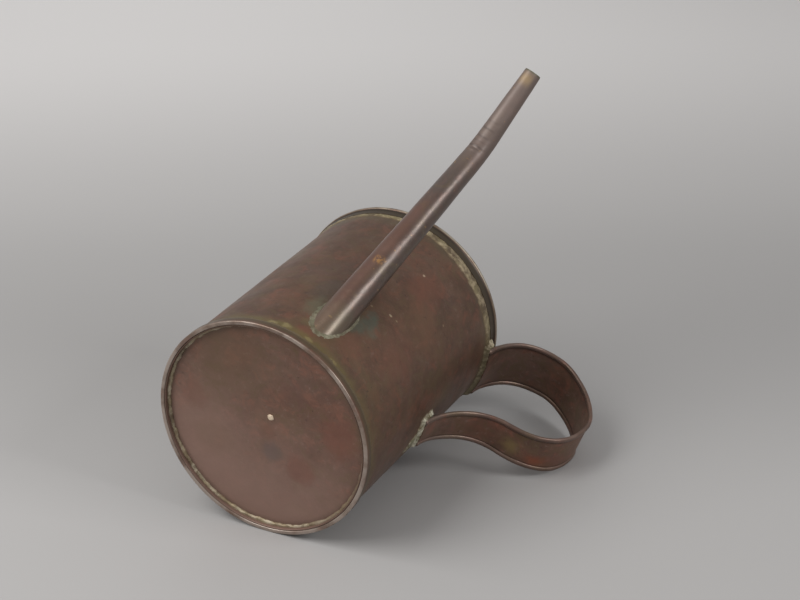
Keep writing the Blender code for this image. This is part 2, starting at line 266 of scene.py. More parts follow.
def make_spout():
    nq, ns = 72, 300
    outer, inner = [], []
    starts = [wall_s(2 * math.pi * k / nq, 0, WALL_R - 0.3 * MM) for k in range(nq)]
    t_in = 0.9 * MM
    starts_in = [wall_s(2 * math.pi * k / nq, -t_in, WALL_R - 0.3 * MM) for k in range(nq)]
    for i in range(ns):
        f = i / (ns - 1)
        row = []
        for k in range(nq):
            q = 2 * math.pi * k / nq
            s = starts[k] + (LENGTH - starts[k]) * f
            tip = math.exp(-((LENGTH - s) / (0.5 * MM)) ** 2)
            row.append(spout_point(s, q, tube_radius(s) + spout_skin(s, q) - 0.2 * MM * tip))
        outer.append(row)
    for i in range(60):
        f = 1 - i / 59
        row = []
        for k in range(nq):
            q = 2 * math.pi * k / nq
            s = starts_in[k] + (LENGTH - starts_in[k]) * f
            tip = math.exp(-((LENGTH - s) / (0.5 * MM)) ** 2)
            row.append(spout_point(s, q, tube_radius(s) - t_in + 0.15 * MM * tip))
        inner.append(row)
    ob = grid("spout_skin", outer + inner, close_u=True, close_v=True, sharp=55)
    turn, along = [], []
    for i in range(ns + 60):
        for k in range(nq):
            f = i / (ns - 1) if i < ns else 1 - (i - ns) / 59
            first = starts[k] if i < ns else starts_in[k]
            along.append((first + (LENGTH - first) * f) / MM)
            # degrees round the tube, from the right edge as seen from outside the bend
            turn.append(math.degrees(2 * math.pi * k / nq))
    tag(ob, "along", along)
    # two smooth values instead of an angle with a jump in it
    tag(ob, "turn_c", [math.cos(math.radians(t)) for t in turn])
    tag(ob, "turn_s", [math.sin(math.radians(t)) for t in turn])
    return ob


# ---- solder laid on the wall: a skin whose height falls below the sheet at its ragged edge
def wall_patch(name, a0, a1, z0, z1, na, nzr, height, whole=False):
    top, thick = [], []
    for i in range(na):
        a = a0 + (a1 - a0) * i / (na if whole else na - 1)
        rt, rl = [], []
        for j in range(nzr):
            z = z0 + (z1 - z0) * j / (nzr - 1)
            w = wall_r(a, z)
            h = height(a, z)
            if j in (0, nzr - 1) or (not whole and i in (0, na - 1)):
                h = -0.25 * MM
            rt.append(on_axis(w + max(h, -0.25 * MM), a, z))
            rl.append(on_axis(w - 0.45 * MM, a, z))
            thick.append(h / MM)
        top.append(rt + rl[::-1])
        thick += [0.0] * nzr
    ob = grid(name, top, close_u=whole, close_v=True, cap_u=not whole, sharp=60)
    tag(ob, "thick", thick)
    return ob


def make_spout_solder(n=150):
    """A ragged fillet between the tube and the wall, built round the tube's outline."""
    q = [2 * math.pi * k / n for k in range(n)]
    s0 = [wall_s(v, 0, WALL_R) for v in q]
    flat = []
    for v, s in zip(q, s0):
        p = spout_point(s, v, tube_radius(s))
        a = (math.atan2(p[1] - AY, p[0] - AX) - SPOUT_AZ + math.pi) % (2 * math.pi) - math.pi
        flat.append((WALL_R * a, p[2]))
    flat = np.array(flat)
    tang = np.roll(flat, -1, 0) - np.roll(flat, 1, 0)
    norm = np.stack([tang[:, 1], -tang[:, 0]], 1)
    norm /= np.linalg.norm(norm, axis=1)[:, None]
    mid = flat.mean(0)
    if ((flat - mid) * norm).sum() < 0:
        norm = -norm
    P = []
    for k in range(n):
        v, s = q[k], s0[k]
        cx, cy = math.cos(v) * 2.2, math.sin(v) * 2.2
        climb = 1.9 + 0.9 * nz(cx, cy, 1.1, 3)
        side = math.atan2(norm[k][1], norm[k][0])
        # wider where it ran to the left and underneath
        left = math.exp(-(((math.degrees(side) - 170 + 180) % 360 - 180) / 55) ** 2)
        under = math.exp(-(((math.degrees(side) + 95 + 180) % 360 - 180) / 45) ** 2)
        edge = 2.0 + 1.6 * left + 0.9 * under + 0.9 * nz(cx * 1.6 + 4, cy * 1.6, 7.7, 3)
        w = flat[k] + norm[k] * max(0.9, edge) * MM
        aw = SPOUT_AZ + w[0] / WALL_R
        W = np.array(on_axis(wall_r(aw, w[1]) - 0.15 * MM, aw, w[1]))
        T = np.array(spout_point(s + max(0.7, climb) * MM, v, tube_radius(s) - 0.15 * MM))
        ja = SPOUT_AZ + flat[k][0] / WALL_R
        J = np.array(on_axis(WALL_R, ja, flat[k][1]))
        out = np.array(on_axis(WALL_R + 1.0, aw, w[1])) - np.array(on_axis(WALL_R, aw, w[1]))
        C = J + 0.22 * ((W + T) / 2 - J) + out * 0.25 * MM
        row = []
        for j in range(13):
            f = j / 12
            p = (1 - f) ** 2 * T + 2 * f * (1 - f) * C + f * f * W
            bumpy = 0.34 * nz(p[0] / MM / 1.5, p[1] / MM / 1.5, p[2] / MM / 1.5, 2)
            row.append(p + out * bumpy * MM * math.sin(math.pi * f) ** 0.7)
        back = np.array(on_axis(WALL_R - 0.7 * MM, ja, flat[k][1]))
        row.append(back)
        P.append(row)
    return grid("spout_solder_fillet", P, close_u=True, close_v=True, sharp=70)


# ---- handle
UPPER = (73.75, 167.0, 90.0, 0.0, 28.0)
CROWN = (109.5, 206.0, 0.0, 18.0, 15.0)
OUTER = (151.5, 162.0, -90.0, 20.0, 27.0)
NECK = (112.5, 122.0, -179.0, 23.0, 23.0)
LOWER = (72.95, 80.0, -93.0, 17.0, 0.0)
W_TOP, W_LOW, BEAD = 39.2 * MM, 21.6 * MM, 1.6 * MM


def handle_line(steps):
    knots = (UPPER, CROWN, OUTER, NECK, LOWER)
    out = []
    for a, b in zip(knots, knots[1:]):
        ta, tb = math.radians(a[2]), math.radians(b[2])
        p = np.array(
            [
                (a[0], a[1]),
                (a[0] + a[4] * math.cos(ta), a[1] + a[4] * math.sin(ta)),
                (b[0] - b[3] * math.cos(tb), b[1] - b[3] * math.sin(tb)),
                (b[0], b[1]),
            ]
        ) * MM
        for k in range(steps + (b is knots[-1])):
            t = k / steps
            u = 1 - t
            w = np.array((u * u * u, 3 * u * u * t, 3 * u * t * t, t * t * t))
            v = np.array((-3 * u * u, 3 * u * u - 6 * u * t, 6 * u * t - 3 * t * t, 3 * t * t))
            pos, vel = w @ p, v @ p
            run = out[-1][3] + math.hypot(pos[0] - out[-1][0], pos[1] - out[-1][1]) if out else 0.0
            out.append((pos[0], pos[1], math.atan2(vel[1], vel[0]), run))
    return out


STRAP = handle_line(60)
STRAP_LEN = STRAP[-1][3]


def half_width(run):
    return 0.5 * (W_TOP + (W_LOW - W_TOP) * run / STRAP_LEN)


def strap_point(at, y, off):
    d, z, a, run = at
    wrap = max(0.0, 1.0 - min(run, STRAP_LEN - run) / (26 * MM))
    wrap = wrap * wrap * (3 - 2 * wrap)
    drop = (d - math.sqrt(d * d - y * y)) * wrap
    # slightly uneven, hand-made strap
    off = off + (0.12 * nz(run / MM / 22, y / MM / 14, 1.7, 2)) * MM
    x = d - drop - off * math.sin(a)
    return (AX + x, AY + y, z + off * math.cos(a))


def make_strap():
    P = []
    n = 22
    for at in STRAP:
        half = half_width(at[3]) - 1.6 * BEAD
        ys = [half * (-1 + 2 * k / n) for k in range(n + 1)]
        t = 0.5 * MM
        P.append([strap_point(at, y, t) for y in ys] + [strap_point(at, y, -t) for y in ys[::-1]])
    ob = grid("strap_sheet", P, close_v=True, cap_u=True, sharp=50)
    tag(ob, "along", [at[3] / MM for at in STRAP for _ in range(2 * n + 2)])
    row = [-1 + 2 * k / n for k in range(n + 1)]
    tag(ob, "across", [v for _ in STRAP for v in row + row[::-1]])
    tag(ob, "outer", [v for _ in STRAP for v in [1.0] * (n + 1) + [0.0] * (n + 1)])
    return ob


def make_bead(name, side):
    P = []
    for at in STRAP:
        run = at[3]
        r = BEAD * (1 + 0.05 * nz(run / MM / 6, side * 3.0, 0.4, 2))
        # a slightly flattened hem, ending rounded
        end = min(run, STRAP_LEN - run) / (1.2 * MM)
        r *= math.sqrt(max(0.05, 1 - max(0.0, 1 - end) ** 2))
        mid = side * (half_width(run) - BEAD + 0.15 * MM * nz(run / MM / 18, side * 5.0, 2.2, 2))
        row = []
        for k in range(18):
            q = 2 * math.pi * k / 18
            row.append(strap_point(at, mid + r * 1.02 * math.cos(q), r * 0.9 * math.sin(q)))
        P.append(row)
    return grid(name, P, close_v=True, cap_u=True, sharp=70)


def end_height(z_end, half, z_top, seed, peak, left=1.0, right=1.0):
    """Solder round a strap's end. z_end is the end's height, z_top where it runs out."""

    def h(a, z):
        y = WALL_R * math.sin(a) / MM
        zz = z / MM
        hw, ze = half / MM, z_end / MM
        dx = abs(y) - hw
        dz = ze - zz
        if dz <= 0:
            d = dx
        elif dx <= 0:
            d = dz
        else:
            d = math.hypot(dx, dz)
        inner = -d if d < 0 else 0
        edge = 3.4 + 1.3 * nz(y / 4, zz / 4, seed, 3)
        edge *= left if y < 0 else right
        fade = 1 - float(smooth(z_top / MM - 3, z_top / MM, zz))
        lump = 0.45 * nz(y / 1.5, zz / 1.5, seed + 4, 2)
        if d > edge:
            return (-0.1 - 0.2 * (d - edge)) * MM
        core = peak * max(0.0, 1 - max(d, 0) / edge) ** 1.3
        core *= 1.0 if inner < 2.5 else max(0.35, 1 - (inner - 2.5) * 0.25)
        return ((core + lump) * fade - 0.1) * MM

    return h


def upper_end(a, z):
    """A thin seam along the strap's upper end, with one big lump at its left corner."""
    h = END_UP(a, z) / MM
    y, zz = WALL_R * math.sin(a) / MM, z / MM
    d = math.hypot((y + 19.5) / 4.6, (zz - 172.6) / 3.6)
    if d < 1.0:
        h = max(h, 2.5 * math.sqrt(1 - d * d) + 0.5 * nz(y / 1.6, zz / 1.6, 8.0, 2) * (1.1 - d) - 0.25)
    return h * MM


def lower_end(a, z):
    """Solder heaped on the strap's lower end, and run down the wall below it."""
    h = END_LOW(a, z) / MM
    y, zz = WALL_R * math.sin(a) / MM, z / MM
    for cy, cz, ry, rz, tall in ((-3.5, 80.5, 6.5, 5.5, 2.3), (2.5, 74.0, 5.0, 7.0, 1.5), (6.0, 67.5, 3.2, 5.5, 0.9)):
        w = 1 + 0.28 * nz(y / 3, zz / 3, cz, 2)
        d = math.hypot((y - cy) / (ry * w), (zz - cz) / (rz * w))
        if d < 1.0:
            h = max(h, tall * math.sqrt(1 - d * d) + 0.55 * nz(y / 1.4, zz / 1.4, 3.0, 2) * (1.1 - d) - 0.25)
    return h * MM


END_UP = end_height(167 * MM, half_width(0), 177 * MM, 2.0, 3.0, 0.8, 0.8)
END_LOW = end_height(80 * MM, half_width(STRAP_LEN), 93 * MM, 5.0, 2.2)


# ------------------------------------------------------------------ materials
class Nodes:
    """Short names for the shader nodes used below."""

    def __init__(self, name):
        self.m = bpy.data.materials.new(name)
        self.m.use_nodes = True
        self.t = self.m.node_tree
        self.b = self.t.nodes["Principled BSDF"]
        self.out = self.t.nodes["Material Output"]
        tc = self.t.nodes.new("ShaderNodeTexCoord")
        self.p = tc.outputs["Object"]

    def link(self, a, b):
        self.t.links.new(a, b)

    def put(self, sock, v):
        if hasattr(v, "links") or hasattr(v, "node"):
            self.link(v, sock)
        else:
            sock.default_value = v

    def noise(self, scale, detail=4.0, rough=0.55, dist=0.0, at=None, stretch=None, shift=None):
        n = self.t.nodes.new("ShaderNodeTexNoise")
        n.inputs["Scale"].default_value = scale
        n.inputs["Detail"].default_value = detail
        n.inputs["Roughness"].default_value = rough
        n.inputs["Distortion"].default_value = dist
        src = at or self.p
        if stretch or shift:
            mp = self.t.nodes.new("ShaderNodeMapping")
            if stretch:
                mp.inputs["Scale"].default_value = stretch
            if shift:
                mp.inputs["Location"].default_value = shift
            self.link(src, mp.inputs["Vector"])
            src = mp.outputs["Vector"]
        self.link(src, n.inputs["Vector"])
        return n.outputs["Fac"]

    def voronoi(self, scale, feature="F1"):
        n = self.t.nodes.new("ShaderNodeTexVoronoi")
        n.feature = feature
        n.inputs["Scale"].default_value = scale
        self.link(self.p, n.inputs["Vector"])
        return n.outputs["Distance"]

    def read(self, name):
        n = self.t.nodes.new("ShaderNodeAttribute")
        n.attribute_type = "GEOMETRY"
        n.attribute_name = name
        return n.outputs["Fac"]

    def hump(self, v, mid, wide):
        """1 at mid, falling to 0 at wide each side."""
        d = self.math("ABSOLUTE", self.math("SUBTRACT", v, mid))
        return self.rng(d, 0.0, wide, 1.0, 0.0)

    def rng(self, v, a, b, c=0.0, d=1.0):
        n = self.t.nodes.new("ShaderNodeMapRange")
        n.interpolation_type = "SMOOTHSTEP"
        self.put(n.inputs["Value"], v)
        n.inputs["From Min"].default_value = a
        n.inputs["From Max"].default_value = b
        n.inputs["To Min"].default_value = c
        n.inputs["To Max"].default_value = d
        return n.outputs["Result"]

    def lin(self, v, a, b, c=0.0, d=1.0):
        n = self.t.nodes.new("ShaderNodeMapRange")
        self.put(n.inputs["Value"], v)
        n.inputs["From Min"].default_value = a
        n.inputs["From Max"].default_value = b
        n.inputs["To Min"].default_value = c
        n.inputs["To Max"].default_value = d
        return n.outputs["Result"]

    def math(self, op, a, b=0.0, clamp=False):
        n = self.t.nodes.new("ShaderNodeMath")
        n.operation = op
        n.use_clamp = clamp
        self.put(n.inputs[0], a)
        self.put(n.inputs[1], b)
        return n.outputs[0]

    def mix(self, fac, a, b):
        n = self.t.nodes.new("ShaderNodeMix")
        n.data_type = "RGBA"
        self.put(n.inputs["Factor"], fac)
        self.put(n.inputs[6], (*a, 1.0) if isinstance(a, tuple) else a)
        self.put(n.inputs[7], (*b, 1.0) if isinstance(b, tuple) else b)
        return n.outputs[2]

    def parts(self):
        s = self.t.nodes.new("ShaderNodeSeparateXYZ")
        self.link(self.p, s.inputs[0])
        return s.outputs

    def far(self, point, stretch=(1, 1, 1)):
        """Distance from a point, in metres, with each axis stretched."""
        mp = self.t.nodes.new("ShaderNodeVectorMath")
        mp.operation = "SUBTRACT"
        self.link(self.p, mp.inputs[0])
        mp.inputs[1].default_value = point
        sc = self.t.nodes.new("ShaderNodeVectorMath")
        sc.operation = "MULTIPLY"
        self.link(mp.outputs[0], sc.inputs[0])
        sc.inputs[1].default_value = stretch
        ln = self.t.nodes.new("ShaderNodeVectorMath")
        ln.operation = "LENGTH"
        self.link(sc.outputs[0], ln.inputs[0])
        return ln.outputs["Value"]

    def from_axis(self):
        """Distance from the can's axis."""
        return self.far((AX, AY, 0.0), (1, 1, 0))

    def spot(self, point, radius, soft, ragged=0.3, scale=120, stretch=(1, 1, 1)):
        """A ragged patch round a point: 1 inside, 0 outside."""
        d = self.far(point, stretch)
        n = self.noise(scale, 4, 0.6, shift=(point[0] * 31, point[1] * 17, 0.3))
        n = self.lin(n, 0.0, 1.0, -radius * ragged, radius * ragged)
        d = self.math("ADD", d, n)
        return self.rng(d, radius - soft, radius + soft, 1.0, 0.0)

    def bump(self, height, strength, distance, under=None):
        n = self.t.nodes.new("ShaderNodeBump")
        n.inputs["Strength"].default_value = strength
        n.inputs["Distance"].default_value = distance
        self.link(height, n.inputs["Height"])
        if under is not None:
            self.link(under, n.inputs["Normal"])
        return n.outputs["Normal"]

    def done(self, colour, rough, normal=None, metallic=None, spec=None):
        self.put(self.b.inputs["Base Color"], colour)
        self.put(self.b.inputs["Roughness"], rough)
        if metallic is not None:
            self.put(self.b.inputs["Metallic"], metallic)
        if spec is not None:
            self.b.inputs["Specular IOR Level"].default_value = spec
        if normal is not None:
            self.link(normal, self.b.inputs["Normal"])
        return self.m


BROWN = (0.143, 0.079, 0.051)
BROWN_DK = (0.106, 0.059, 0.040)
RED = (0.200, 0.076, 0.048)
OLIVE = (0.165, 0.118, 0.058)
GREY = (0.150, 0.100, 0.082)


def patina(name, base=BROWN, dark=BROWN_DK, red=RED, olive=OLIVE, grey=GREY, red_amt=0.35, olive_amt=0.3,
           grey_amt=0.4, rough=(0.38, 0.56), metallic=0.55, extra=None, mottle=0.34, roughen=None):
    g = Nodes(name)
    big = g.noise(16, 4, 0.6, 0.4)
    mid = g.noise(55, 5, 0.62, 0.3, shift=(1.3, 0.2, 4.1))
    fine = g.noise(420, 4, 0.7, shift=(0.4, 2.2, 0.1))
    c = g.mix(g.rng(mid, 0.38, 0.64), dark, base)
    c = g.mix(g.math("MULTIPLY", g.rng(g.noise(22, 5, 0.65, 0.8, shift=(5, 1, 2)), 0.50, 0.70), red_amt), c, red)
    c = g.mix(g.math("MULTIPLY", g.rng(g.noise(19, 5, 0.6, 0.5, shift=(2, 7, 3)), 0.50, 0.72), olive_amt), c, olive)
    c = g.mix(g.math("MULTIPLY", g.rng(big, 0.45, 0.68), grey_amt), c, grey)
    # finger-sized and grain-sized mottling of the oxide
    m1 = g.noise(95, 6, 0.72, 0.6, shift=(9, 4, 2))
    c = g.mix(g.math("MULTIPLY", g.rng(m1, 0.50, 0.66), mottle), c, tuple(1.28 * v for v in red))
    c = g.mix(g.math("MULTIPLY", g.rng(m1, 0.36, 0.50, 1.0, 0.0), mottle), c, tuple(0.86 * v for v in olive))
    m2 = g.noise(230, 5, 0.75, 0.3, shift=(1, 8, 6))
    c = g.mix(g.math("MULTIPLY", g.rng(m2, 0.54, 0.70), mottle * 0.9), c, tuple(1.5 * v for v in grey))
    c = g.mix(g.math("MULTIPLY", g.rng(m2, 0.32, 0.46, 1.0, 0.0), mottle * 0.9), c, tuple(0.62 * v for v in base))
    speck = g.rng(fine, 0.60, 0.78)
    c = g.mix(g.math("MULTIPLY", speck, 0.35), c, (0.24, 0.155, 0.11))
    pits = g.rng(g.noise(260, 3, 0.6, shift=(8, 3, 1)), 0.62, 0.74)
    c = g.mix(g.math("MULTIPLY", pits, 0.45), c, (0.045, 0.032, 0.027))
    if extra:
        c = extra(g, c)
    r = g.lin(g.noise(38, 5, 0.65, shift=(3, 3, 9)), 0.3, 0.7, rough[0], rough[1])
    if roughen:
        r = roughen(g, r)
    hgt = g.math("ADD", g.math("MULTIPLY", mid, 0.55), g.math("MULTIPLY", fine, 0.18))
    hgt = g.math("SUBTRACT", hgt, g.math("MULTIPLY", pits, 0.12))
    n = g.bump(hgt, 0.35, 0.0006)
    return g.done(c, r, n, metallic)


def solder(name, pale=(0.40, 0.35, 0.25), green=(0.20, 0.175, 0.095), brown=(0.12, 0.085, 0.05), pale_amt=0.6, rough=(0.35, 0.6), extra=None, feather=0.0):
    g = Nodes(name)
    a = g.noise(150, 5, 0.65, 0.4)
    b = g.noise(60, 4, 0.6, 0.2, shift=(3, 1, 5))
    c = g.mix(g.rng(b, 0.38, 0.60), brown, green)
    c = g.mix(g.math("MULTIPLY", g.rng(a, 0.42, 0.62), pale_amt), c, pale)
    fine = g.noise(700, 3, 0.7)
    c = g.mix(g.math("MULTIPLY", g.rng(fine, 0.55, 0.75), 0.4), c, (0.09, 0.07, 0.045))
    if feather:
        # where it thins out it takes the wall's brown
        thin = g.math("ADD", g.read("thick"), g.lin(fine, 0.0, 1.0, -0.5 * feather, 0.5 * feather))
        c = g.mix(g.rng(thin, 0.0, feather, 0.85, 0.0), c, (0.132, 0.092, 0.052))
    if extra:
        c = extra(g, c)
    r = g.lin(a, 0.3, 0.7, rough[0], rough[1])
    hgt = g.math("ADD", a, g.math("MULTIPLY", fine, 0.4))
    n = g.bump(hgt, 0.6, 0.0007)
    return g.done(c, r, n, 0.35)


# lightens a ragged masked band: rubbed wear, used here also as a painted highlight
def wear_and_highlight(g, c, mask, tone=(0.40, 0.29, 0.24), amt=0.8, scale=300):
    m = g.math("MULTIPLY", mask, g.rng(g.noise(scale, 4, 0.6, shift=(1, 9, 2)), 0.36, 0.6, 0.25, 1.0))
    return g.mix(g.math("MULTIPLY", m, amt), c, tone)


# ------------------------------------------------------------------ pieces
def dress(ob, mat, slot, *nodes):
    ob.data.materials.clear()
    ob.data.materials.append(mat)
    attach(ob, "root")
    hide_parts(*nodes)
    return ob


# azimuth, height, radius, how much taller than wide, colour, strength, grain
WALL_STAINS = [
    (-87.1, 44.5, 14.0, 1.25, (0.130, 0.118, 0.072), 0.5, 150),
    (-73.8, 59.0, 4.6, 1.4, (0.085, 0.118, 0.092), 0.6, 300),
    (-76.0, 66.0, 3.4, 1.2, (0.095, 0.112, 0.085), 0.5, 300),
    (-78.0, 48.0, 6.0, 1.2, (0.110, 0.120, 0.090), 0.7, 200),
    (-70.0, 53.0, 4.0, 1.0, (0.120, 0.125, 0.090), 0.45, 240),
    (-101.0, 62.0, 8.0, 1.5, (0.092, 0.088, 0.075), 0.4, 130),
    (-99.0, 41.0, 6.0, 1.6, (0.145, 0.140, 0.090), 0.55, 200),
    (-91.0, 24.0, 8.0, 0.6, (0.160, 0.120, 0.060), 0.6, 150),
    (-68.0, 121.0, 10.0, 1.4, (0.200, 0.085, 0.055), 0.55, 90),
    (-72.6, 31.0, 9.0, 1.2, (0.180, 0.080, 0.052), 0.4, 100),
    (-92.0, 14.0, 6.0, 0.8, (0.210, 0.085, 0.050), 0.5, 150),
    (-55.0, 95.0, 14.0, 1.3, (0.175, 0.095, 0.055), 0.4, 80),
    (-52.0, 60.0, 13.0, 1.5, (0.185, 0.082, 0.055), 0.35, 80),
    (-128.0, 7.0, 7.0, 0.45, (0.160, 0.130, 0.068), 0.65, 230),
    (-116.0, 7.5, 8.0, 0.50, (0.155, 0.122, 0.056), 0.70, 240),
    (-104.0, 8.5, 8.0, 0.55, (0.165, 0.128, 0.052), 0.75, 250),
    (-93.0, 8.5, 8.0, 0.55, (0.168, 0.126, 0.050), 0.75, 250),
    (-81.0, 7.5, 7.5, 0.50, (0.150, 0.114, 0.048), 0.70, 240),
    (-69.0, 7.0, 8.0, 0.45, (0.150, 0.114, 0.048), 0.70, 240),
    (-57.0, 6.5, 8.0, 0.40, (0.145, 0.108, 0.048), 0.65, 230),
    (-108.0, 9.0, 2.6, 0.7, (0.300, 0.245, 0.120), 0.75, 420),
    (-101.0, 11.0, 3.0, 0.7, (0.290, 0.235, 0.110), 0.75, 420),
    (-88.0, 9.5, 2.6, 0.6, (0.280, 0.225, 0.100), 0.65, 420),
    (-72.0, 8.5, 2.4, 0.6, (0.270, 0.215, 0.100), 0.60, 420),
    (-73.9, 130.5, 0.9, 1.0, (0.50, 0.38, 0.27), 0.9, 300),
    (-70.0, 78.2, 1.1, 0.7, (0.42, 0.33, 0.22), 0.85, 300),
    (-66.0, 79.2, 0.8, 0.6, (0.36, 0.27, 0.17), 0.7, 300),
    (-80.0, 72.0, 0.7, 1.0, (0.34, 0.24, 0.15), 0.6, 300),
    (-48.0, 118.0, 0.7, 1.0, (0.34, 0.24, 0.15), 0.5, 300),
    (40.0, 96.0, 16.0, 1.4, (0.190, 0.085, 0.055), 0.45, 80),
    (140.0, 70.0, 20.0, 1.2, (0.185, 0.085, 0.055), 0.45, 70),
    (185.0, 120.0, 16.0, 1.5, (0.150, 0.110, 0.060), 0.45, 70),
    (100.0, 30.0, 12.0, 1.5, (0.120, 0.115, 0.075), 0.45, 110),
]


def wall_extra(g, c):
    x, y, z = g.parts()
    # olive bloom along the foot and under the collar
    ragged = g.lin(g.noise(70, 5, 0.65, shift=(4, 4, 4)), 0, 1, -0.010, 0.010)
    low = g.rng(g.math("ADD", z, ragged), 0.006, 0.018, 1.0, 0.0)
    c = g.mix(g.math("MULTIPLY", low, 0.55), c, (0.16, 0.125, 0.055))
    high = g.rng(g.math("ADD", z, g.math("MULTIPLY", ragged, 0.6)), 0.158, 0.168, 0.0, 1.0)
    c = g.mix(g.math("MULTIPLY", high, 0.5), c, (0.13, 0.115, 0.07))
    for az, zz, rad, tall, tone, amt, scale in WALL_STAINS:
        q = math.radians(az)
        p = (AX + WALL_R * math.cos(q), AY + WALL_R * math.sin(q), zz * MM)
        m = g.spot(p, rad * MM, rad * 0.5 * MM, 0.9, scale, (1, 1, 1 / tall))
        c = g.mix(g.math("MULTIPLY", m, amt), c, tone)
    return c


body = make_body()
dress(body, patina("wall_patina", extra=wall_extra, red_amt=0.4, olive_amt=0.35), "body_wall", "body_wall")

spout_ob = make_spout()


def around(g, degrees, spread):
    """A soft mask on one side of the tube."""
    q = math.radians(degrees)
    a = g.math("MULTIPLY", g.read("turn_c"), math.cos(q))
    b = g.math("MULTIPLY", g.read("turn_s"), math.sin(q))
    return g.rng(g.math("ADD", a, b), math.cos(math.radians(spread)), 1.0)


def spout_extra(g, c):
    s = g.read("along")
    ragged = g.lin(g.noise(90, 5, 0.65, shift=(2, 2, 8)), 0, 1, -14.0, 14.0)
    sr = g.math("ADD", s, ragged)
    # painted reflection of the copper wall: red along the outer side of the lower half; towards the tip lighter and
    # greyer, partly greyer bare metal and partly painted light where the tip catches more light
    m = g.math("MULTIPLY", around(g, 232, 62), g.rng(sr, 84.0, 112.0, 1.0, 0.0))
    c = g.mix(g.math("MULTIPLY", m, 0.5), c, (0.165, 0.062, 0.036))
    m = g.rng(sr, 95.0, 150.0, 0.0, 1.0)
    c = g.mix(g.math("MULTIPLY", m, 0.45), c, (0.165, 0.120, 0.103))
    m = g.rng(sr, 128.0, 176.0, 0.0, 1.0)
    c = g.mix(g.math("MULTIPLY", m, 0.45), c, (0.215, 0.160, 0.138))
    # brassy rub near the tip and a darker, greener lip
    m = g.math("MULTIPLY", g.hump(s, LENGTH / MM - 6.0, 7.0), around(g, 262, 60))
    c = g.mix(g.math("MULTIPLY", m, 0.7), c, (0.34, 0.235, 0.115))
    c = g.mix(g.math("MULTIPLY", g.rng(s, LENGTH / MM - 1.6, LENGTH / MM - 0.3), 0.8), c, (0.10, 0.10, 0.055))
    # a golden fleck and a few small ones
    m = g.math("MULTIPLY", g.hump(s, 43.0, 4.6), around(g, 262, 26))
    m = g.math("MULTIPLY", m, g.rng(g.noise(520, 3, 0.6), 0.36, 0.56))
    c = g.mix(m, c, (0.40, 0.20, 0.055))
    m = g.math("MULTIPLY", g.rng(g.noise(240, 3, 0.6, shift=(6, 6, 6)), 0.66, 0.72), 0.6)
    c = g.mix(m, c, (0.30, 0.17, 0.07))
    # painted shade along the creases
    for at, amt in ((149.6, 0.85), (154.2, 0.35), (158.4, 0.5), (165.0, 0.6), (170.5, 0.3)):
        m = g.math("MULTIPLY", g.hump(s, at, 1.3), around(g, 246, 56))
        c = g.mix(g.math("MULTIPLY", m, amt), c, (0.055, 0.035, 0.028))
    # greenish where it meets the solder
    c = g.mix(g.math("MULTIPLY", g.rng(sr, -8.0, 14.0, 1.0, 0.0), 0.35), c, (0.15, 0.13, 0.075))
    return c


def spout_rough(g, r):
    return g.math("ADD", r, g.rng(g.read("along"), 118.0, 162.0, 0.0, 0.27))


sp_mat = patina(
    "spout_patina",
    base=(0.098, 0.063, 0.048),
    dark=(0.072, 0.047, 0.037),
    red=(0.128, 0.060, 0.043),
    grey=(0.104, 0.083, 0.075),
    metallic=0.5,
    rough=(0.33, 0.42),
    grey_amt=0.5,
    red_amt=0.3,
    extra=spout_extra,
    roughen=spout_rough,
)
sp_bsdf = sp_mat.node_tree.nodes["Principled BSDF"]
sp_bsdf.inputs["Coat Weight"].default_value = 0.32
sp_bsdf.inputs["Coat Roughness"].default_value = 0.33
sp_bsdf.inputs["Specular IOR Level"].default_value = 1.0
dress(spout_ob, sp_mat, "spout_tube", "spout_tube")

dress(make_spout_solder(), solder("spout_solder", pale=(0.30, 0.275, 0.20), green=(0.155, 0.150, 0.095), brown=(0.115, 0.095, 0.055), pale_amt=0.55), "spout_foot_solder", "spout_foot_solder")

strap = make_strap()


def strap_extra(g, c):
    s, v, outer = g.read("along"), g.read("across"), g.read("outer")
    edge = g.math("ABSOLUTE", v)
    inside = g.math("SUBTRACT", 1.0, outer)
    # painted shade: a dark line along both edges, against the hems
    m = g.rng(g.math("ADD", edge, g.lin(g.noise(160, 4, 0.6), 0, 1, -0.06, 0.06)), 0.80, 0.97)
    c = g.mix(g.math("MULTIPLY", m, 0.72), c, (0.035, 0.024, 0.019))
    # painted shade: the inner face, towards the can, made a little darker
    c = g.mix(g.math("MULTIPLY", inside, 0.12), c, (0.080, 0.052, 0.042))
    # stains on the outer face, near where it rests
    n = g.lin(g.noise(130, 5, 0.65, shift=(7, 1, 3)), 0, 1, -9.0, 9.0)
    sn = g.math("ADD", s, n)
    for at, wide, mid, half, tone, amt in STRAP_STAINS:
        m = g.math("MULTIPLY", g.hump(sn, at, wide), g.hump(g.math("ADD", v, g.math("MULTIPLY", n, 0.03)), mid, half))
        m = g.math("MULTIPLY", m, outer)
        c = g.mix(g.math("MULTIPLY", m, amt), c, tone)
    return c


# length along, reach, place across, reach across, tone, strength
STRAP_STAINS = [
    (181.5, 9.5, 0.15, 0.85, (0.255, 0.180, 0.080), 0.85),
    (163.0, 13.0, 0.55, 0.6, (0.30, 0.090, 0.045), 0.75),
    (150.0, 16.0, 0.5, 0.8, (0.20, 0.095, 0.070), 0.6),
    (208.0, 22.0, 0.1, 0.9, (0.16, 0.080, 0.050), 0.5),
]
strap_mat = patina(
    "strap_patina",
    base=(0.196, 0.110, 0.076),
    dark=(0.140, 0.080, 0.058),
    red=(0.255, 0.098, 0.066),
    grey=(0.205, 0.140, 0.118),
    red_amt=0.55,
    mottle=0.5,
    extra=strap_extra,
)
dress(strap, strap_mat, "handle_strap", "handle_strap")
for nm, side, node in (("hem_left", 1, "handle_bead_left"), ("hem_right", -1, "handle_bead_right")):
    dress(make_bead(nm, side), patina(nm + "_patina", base=(0.178, 0.116, 0.093), dark=(0.122, 0.078, 0.062), grey=(0.200, 0.150, 0.128), red_amt=0.15, grey_amt=0.6, mottle=0.25, rough=(0.32, 0.46)), node, node)

